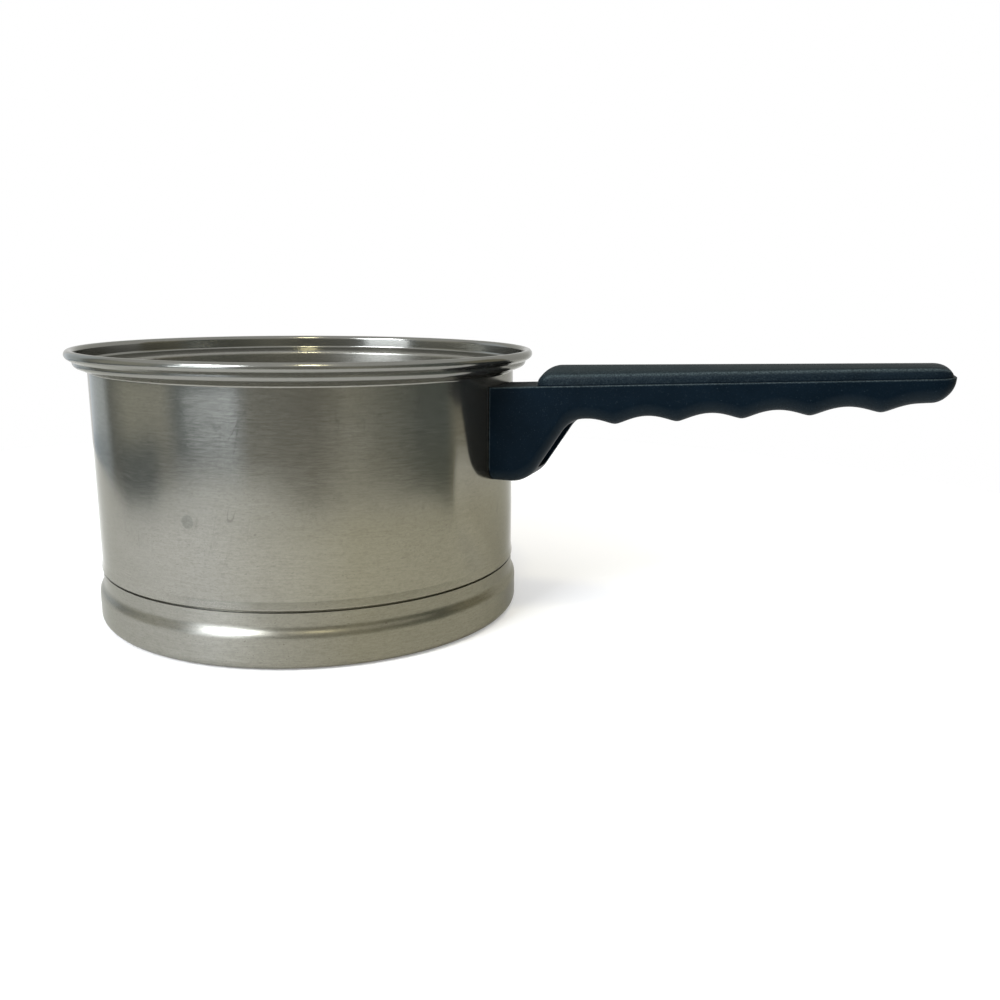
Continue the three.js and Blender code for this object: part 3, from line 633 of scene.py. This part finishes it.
def moulded_phenolic(name):
    """Phenolic resin, moulded in a polished steel tool. Nearly black with a blue cast, satin with a fine
    orange-peel and specks of dust. Hands have dulled the crown and worn the lip at the mould line. Faces
    turned up are painted lighter, as painted light from above; faces turned down are painted paler, as a
    painted reflection of the floor; and the wear colour also paints highlights on the crown, along its
    shoulder edge and on the root's front edge."""
    peel, smear, speck = 0.8 * MM, 14 * MM, 0.5 * MM
    material, tree, output = empty_material(name)
    place = node(tree, "ShaderNodeTexCoord").outputs["Object"]
    skin, smears, specks = [
        node(tree, "ShaderNodeTexNoise", {
            "Vector": place, "Scale": 1 / size, "Detail": detail, "Roughness": rough,
        }).outputs[0]
        for size, detail, rough in ((peel, 3, 0.6), (smear, 4, 0.6), (speck, 2, 0.7))
    ]
    facing = node(tree, "ShaderNodeNewGeometry").outputs["Normal"]
    upwards = node(tree, "ShaderNodeSeparateXYZ", {0: facing}).outputs[2]
    # Wear share: real wear on the mould-line lip, and painted highlights on the crown, its shoulder and the
    # root's front edge.
    wear_and_painted_light = node(tree, "ShaderNodeAttribute", attribute_name="wear_and_painted_light").outputs["Fac"]
    chips = node(tree, "ShaderNodeMapRange", {0: specks, 1: 0.38, 2: 0.62, 3: 0.25, 4: 1}).outputs[0]
    chipped_wear_and_light = node(tree, "ShaderNodeMath", {0: wear_and_painted_light, 1: chips}, operation="MULTIPLY").outputs[0]
    dust = node(tree, "ShaderNodeMapRange", {0: specks, 1: 0.64, 2: 0.74, 3: 0, 4: 0.4}).outputs[0]
    # Painted light from above: faces turned up are painted a lighter grey-green; the same share makes them
    # rougher, where hands have dulled them.
    dulled_and_painted_top = node(tree, "ShaderNodeMapRange", {0: upwards, 1: 0.25, 2: 0.95, 3: 0, 4: 0.4}).outputs[0]
    # Painted reflection: faces turned down are painted paler, as the white floor mirrored in them.
    painted_floor_reflection = node(tree, "ShaderNodeMapRange", {0: upwards, 1: -0.15, 2: -0.8, 3: 0, 4: 0.45}).outputs[0]
    tone = node(tree, "ShaderNodeMix", {
        "Factor": smears, "A": linear("#030b12"), "B": linear("#091620"),
    }, data_type="RGBA").outputs["Result"]
    for share, colour in ((dust, "#3c464b"), (dulled_and_painted_top, "#262a27"), (painted_floor_reflection, "#2c3336"), (chipped_wear_and_light, "#5a676a")):
        tone = node(tree, "ShaderNodeMix", {
            "Factor": share, "A": tone, "B": linear(colour),
        }, data_type="RGBA").outputs["Result"]
    gloss = node(tree, "ShaderNodeMapRange", {0: smears, 1: 0.3, 2: 0.7, 3: 0.34, 4: 0.48}).outputs[0]
    gloss = node(tree, "ShaderNodeMath", {0: dulled_and_painted_top, 1: 0.5, 2: gloss}, operation="MULTIPLY_ADD").outputs[0]
    bump = node(tree, "ShaderNodeBump", {"Strength": 0.12, "Distance": 0.05 * MM, "Height": skin}).outputs[0]
    shader = node(tree, "ShaderNodeBsdfPrincipled", {
        "Base Color": tone, "Roughness": gloss, "Normal": bump, "Specular IOR Level": 0.02,
        "Sheen Weight": 0.025, "Sheen Roughness": 0.45, "Sheen Tint": linear("#9aa39f"),
    })
    tree.links.new(shader.outputs[0], output.inputs[0])
    return material


x, y, z = vertices_of(grip).T
side_at = half_width(x, tip_x, TIP_CORNER) - np.abs(y)
on_lip = (side_at < 1.2 * LIP) * np.clip(1.3 - np.abs(z - mould_line(x) + LIP / 2) / LIP, 0, 1)
# Painted light goes in with the wear: the crown is painted a little lighter, less towards the tip; a thin
# band along its shoulder edge and the root's front edge against the wall are painted highlights; only the
# lip at the mould line is real wear.
along_crown = (x - crown_front) / (crown_end - crown_front)
painted_crown_light = (0.14 - 0.1 * along_crown) * (z > mould_line(x) + 0.3 * MM)
crown_half = half_width(np.minimum(x, crown_end), crown_end, TIP_CORNER - CROWN_LAND) - CROWN_LAND
inset = crown_half - np.abs(y)
shoulder_highlight_band = np.clip(1.2 - np.abs(inset - 0.7 * MM) / (0.5 * MM), 0, 1)
painted_shoulder_highlight = 0.45 * (z > mould_line(x) + 2 * MM) * shoulder_highlight_band
painted_front_edge_highlight = 0.5 * (np.hypot(x, y) < WALL_RADIUS + WALL_GAP + 0.05 * MM) * (side_at < 0.1 * MM)
lip_wear = 0.5 - 0.22 * (x - WALL_RADIUS) / GRIP_REACH
mark(grip, "wear_and_painted_light", np.max([lip_wear * on_lip, painted_crown_light, painted_shoulder_highlight, painted_front_edge_highlight], axis=0))
grip.data.materials.clear()
grip.data.materials.append(moulded_phenolic("phenolic_moulded"))
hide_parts("handle_grip")
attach(grip, "root")

# Screw and washers
# A slotted steel screw through the root into the nut, with a flat washer against the phenolic and a
# split spring washer under its head. All zinc-plated, deep in the pocket.
dress("flat_washer", zinc)
dress("lock_washer", zinc)
dress("handle_screw", zinc)

# Floor and studio
# A plain white floor and a white world: the ground stays white and keeps the object's shadow. The edge
# of the floor is shaped, because the steel mirrors it as the line where floor and room meet.
FLOOR_REACH = (  # angle, distance to the edge
    (-170, 0.35), (-155, 0.305), (-140, 0.315), (-124, 0.39), (-110, 0.42), (-80, 0.42), (-58, 0.38),
    (-42, 0.43), (-26, 0.41), (-2, 0.33), (6, 0.305), (11, 0.305), (17, 0.47), (150, 0.48),
)
FLOOR_Z = -0.2 * MM  # a hair below the foot, so that the two faces never coincide
FLOOR_STEPS = 180


def floor_paint(name):
    """Matt white that also glows a little, so it stays white and still takes the object's shadow. In
    front of the pan it is painted greyer with the distance, a painted shade for the light falling off
    away from the lamps."""
    material, tree, output = empty_material(name)
    path = node(tree, "ShaderNodeLightPath").outputs
    seen = path["Is Camera Ray"]
    for ray in ("Is Glossy Ray", "Is Transmission Ray"):
        seen = node(tree, "ShaderNodeMath", {0: seen, 1: path[ray]}, operation="MAXIMUM").outputs[0]
    place = node(tree, "ShaderNodeTexCoord").outputs["Object"]
    distance = node(tree, "ShaderNodeVectorMath", {0: place}, operation="LENGTH").outputs["Value"]
    y = node(tree, "ShaderNodeSeparateXYZ", {0: place}).outputs[1]
    # Painted shade: in front of the pan the floor is painted greyer with the distance.
    far = node(tree, "ShaderNodeMapRange", {0: distance, 1: 0.22, 2: 0.4, 3: 0, 4: 1}).outputs[0]
    in_front = node(tree, "ShaderNodeMapRange", {0: y, 1: 0, 2: -0.12, 3: 0, 4: 1}).outputs[0]
    painted_falloff = node(tree, "ShaderNodeMath", {0: far, 1: in_front}, operation="MULTIPLY").outputs[0]
    paint = node(tree, "ShaderNodeMix", {
        "Factor": painted_falloff, "A": linear("#e6e6e6"), "B": linear("#c4c4c4"),
    }, data_type="RGBA").outputs["Result"]
    glow = node(tree, "ShaderNodeMath", {0: seen, 1: 0.22}, operation="MULTIPLY").outputs[0]
    both = node(tree, "ShaderNodeAddShader", {
        0: node(tree, "ShaderNodeBsdfDiffuse", {"Color": paint}).outputs[0],
        1: node(tree, "ShaderNodeEmission", {"Color": linear("#ffffff"), "Strength": glow}).outputs[0],
    })
    tree.links.new(both.outputs[0], output.inputs[0])
    return material


rim_turn = np.linspace(0, 2 * math.pi, FLOOR_STEPS, endpoint=False)
floor_reach = np.interp(np.degrees(rim_turn), *zip(*FLOOR_REACH), period=360)
floor_rim = np.stack([
    floor_reach * np.cos(rim_turn), floor_reach * np.sin(rim_turn), np.full(FLOOR_STEPS, FLOOR_Z),
], 1)
floor_mesh = bpy.data.meshes.new("floor")
floor_mesh.from_pydata(floor_rim.tolist(), [], [list(range(FLOOR_STEPS))])
floor = bpy.data.objects.new("floor", floor_mesh)
floor.data.materials.append(floor_paint("floor_white"))
bpy.context.scene.collection.objects.link(floor)

# Surroundings: one upright band of grey card, bent round the front of the pan and out of the picture.
# Its grey changes with the compass angle from +X, so the wall mirrors a room with one pale window.
BAND_RADIUS = 1.1
BAND_STEPS = 119
BAND_ROWS = (-0.9, -0.08, -0.062, 0.75)  # heights; the two lowest rows make the darker foot
BAND_GLOW = 1.4
BAND_FOOT = (  # angle, share of the grey that is left low down
    (-176, 0.6), (-166, 0.24), (-145, 0.22), (-132, 0.62), (-116, 0.74), (-100, 0.84), (-88, 1),
)
FOOT_SHADE = np.array([0.97, 0.9, 0.81, 0])  # the dark foot is a little blue
BAND_GREYS = [
    (-210, "#ecf4ff"), (-184, "#e4ecf4"), (-176, "#8a8c88"), (-160, "#c0bfb2"), (-136, "#bcbbb0"),
    (-126, "#828a8c"), (-112, "#a0a8ae"), (-97, "#b8c0c8"), (-88, "#96968f"), (-58, "#87857b"),
    (-40, "#a6a496"), (-4, "#656b65"), (14, "#666d68"), (22, "#989482"), (48, "#989482"),
]
band_angle = np.linspace(BAND_GREYS[0][0], BAND_GREYS[-1][0], BAND_STEPS)
greys = np.array([linear(colour) for _, colour in BAND_GREYS])
band_colour = np.stack([
    np.interp(band_angle, [angle for angle, _ in BAND_GREYS], greys[:, channel]) for channel in range(4)
], 1)
turn = np.radians(band_angle)
ring = np.stack([BAND_RADIUS * np.cos(turn), BAND_RADIUS * np.sin(turn)], 1)
rows = [np.column_stack([ring, np.full(BAND_STEPS, height)]) for height in BAND_ROWS]
foot = 1 - (1 - np.interp(band_angle, *zip(*BAND_FOOT)))[:, None] * FOOT_SHADE
corner = np.arange(len(BAND_ROWS) - 1)[:, None] * BAND_STEPS + np.arange(BAND_STEPS - 1)
quads = np.stack([corner, corner + 1, corner + 1 + BAND_STEPS, corner + BAND_STEPS], -1).reshape(-1, 4)
band_mesh = bpy.data.meshes.new("surroundings")
band_mesh.from_pydata(np.concatenate(rows).tolist(), [], quads.tolist())
greys_at = band_mesh.attributes.new("grey", "FLOAT_COLOR", "POINT")
greys_at.data.foreach_set("color", np.concatenate([
    band_colour * foot, band_colour * foot, band_colour, band_colour,
]).astype(np.float32).ravel())
surroundings = bpy.data.objects.new("surroundings", band_mesh)
band_material, band_tree, band_output = empty_material("surroundings_grey")
band_grey = node(band_tree, "ShaderNodeAttribute", attribute_name="grey")
band_glow = node(band_tree, "ShaderNodeEmission", {
    "Color": band_grey.outputs["Color"], "Strength": BAND_GLOW,
})
band_tree.links.new(band_glow.outputs[0], band_output.inputs[0])
surroundings.data.materials.append(band_material)
surroundings.visible_camera = False
surroundings.visible_diffuse = False
surroundings.visible_shadow = False
bpy.context.scene.collection.objects.link(surroundings)

world = bpy.data.worlds.new("studio")
bpy.context.scene.world = world
world.use_nodes = True
background = world.node_tree.nodes["Background"]
background.inputs["Color"].default_value = (1, 1, 1, 1)
background.inputs["Strength"].default_value = 1


def panel(name, azimuth, elevation, distance, width, height, watts, colour, only_mirrored=False):
    """A soft rectangular lamp at a compass angle from +X and an elevation, turned to the pan."""
    lamp = bpy.data.lights.new(name, "AREA")
    lamp.shape, lamp.size, lamp.size_y = "RECTANGLE", width, height
    lamp.energy, lamp.color = watts, linear(colour)[:3]
    a, e = math.radians(azimuth), math.radians(elevation)
    towards = Vector((math.cos(a) * math.cos(e), math.sin(a) * math.cos(e), math.sin(e)))
    stand = bpy.data.objects.new(name, lamp)
    stand.location = towards * distance
    stand.rotation_mode = "QUATERNION"
    stand.rotation_quaternion = towards.to_track_quat("Z", "Y")
    stand.visible_diffuse = not only_mirrored
    bpy.context.scene.collection.objects.link(stand)


# A window with a bright pane and sill in it, both only to be mirrored, and a lamp behind the camera.
panel("window", -108, 38, 1.2, 0.5, 0.38, 12, "#f2f7ff")
panel("window_pane", -112, 38, 1.15, 0.24, 0.3, 6.5, "#f2f7ff", only_mirrored=True)
panel("window_sill", -109, 9, 1.05, 0.5, 0.16, 2.0, "#f2f7ff", only_mirrored=True)
panel("lamp_behind_camera", -59, 64, 1.3, 0.14, 0.16, 2.6, "#fff4c8")

# Camera
# At the photograph's place and angle, 0.4 m from the pan's axis and 2 cm higher than its rim.
CAMERA_AT = Vector((203.2, -345.7, 130.0)) * MM
LOOKS_AT = Vector((84.15, 0, 48.98)) * MM
ROLL = math.radians(0.6)
camera_data = bpy.data.cameras.new("camera")
camera_data.sensor_width, camera_data.lens = 36, 34
camera_data.clip_start = 0.01
camera = bpy.data.objects.new("camera", camera_data)
camera.location = CAMERA_AT
camera.rotation_mode = "QUATERNION"
aim = (LOOKS_AT - CAMERA_AT).to_track_quat("-Z", "Y")
camera.rotation_quaternion = aim @ Quaternion((0, 0, 1), ROLL)
bpy.context.scene.collection.objects.link(camera)
bpy.context.scene.camera = camera
bpy.context.scene.view_settings.view_transform = "Standard"
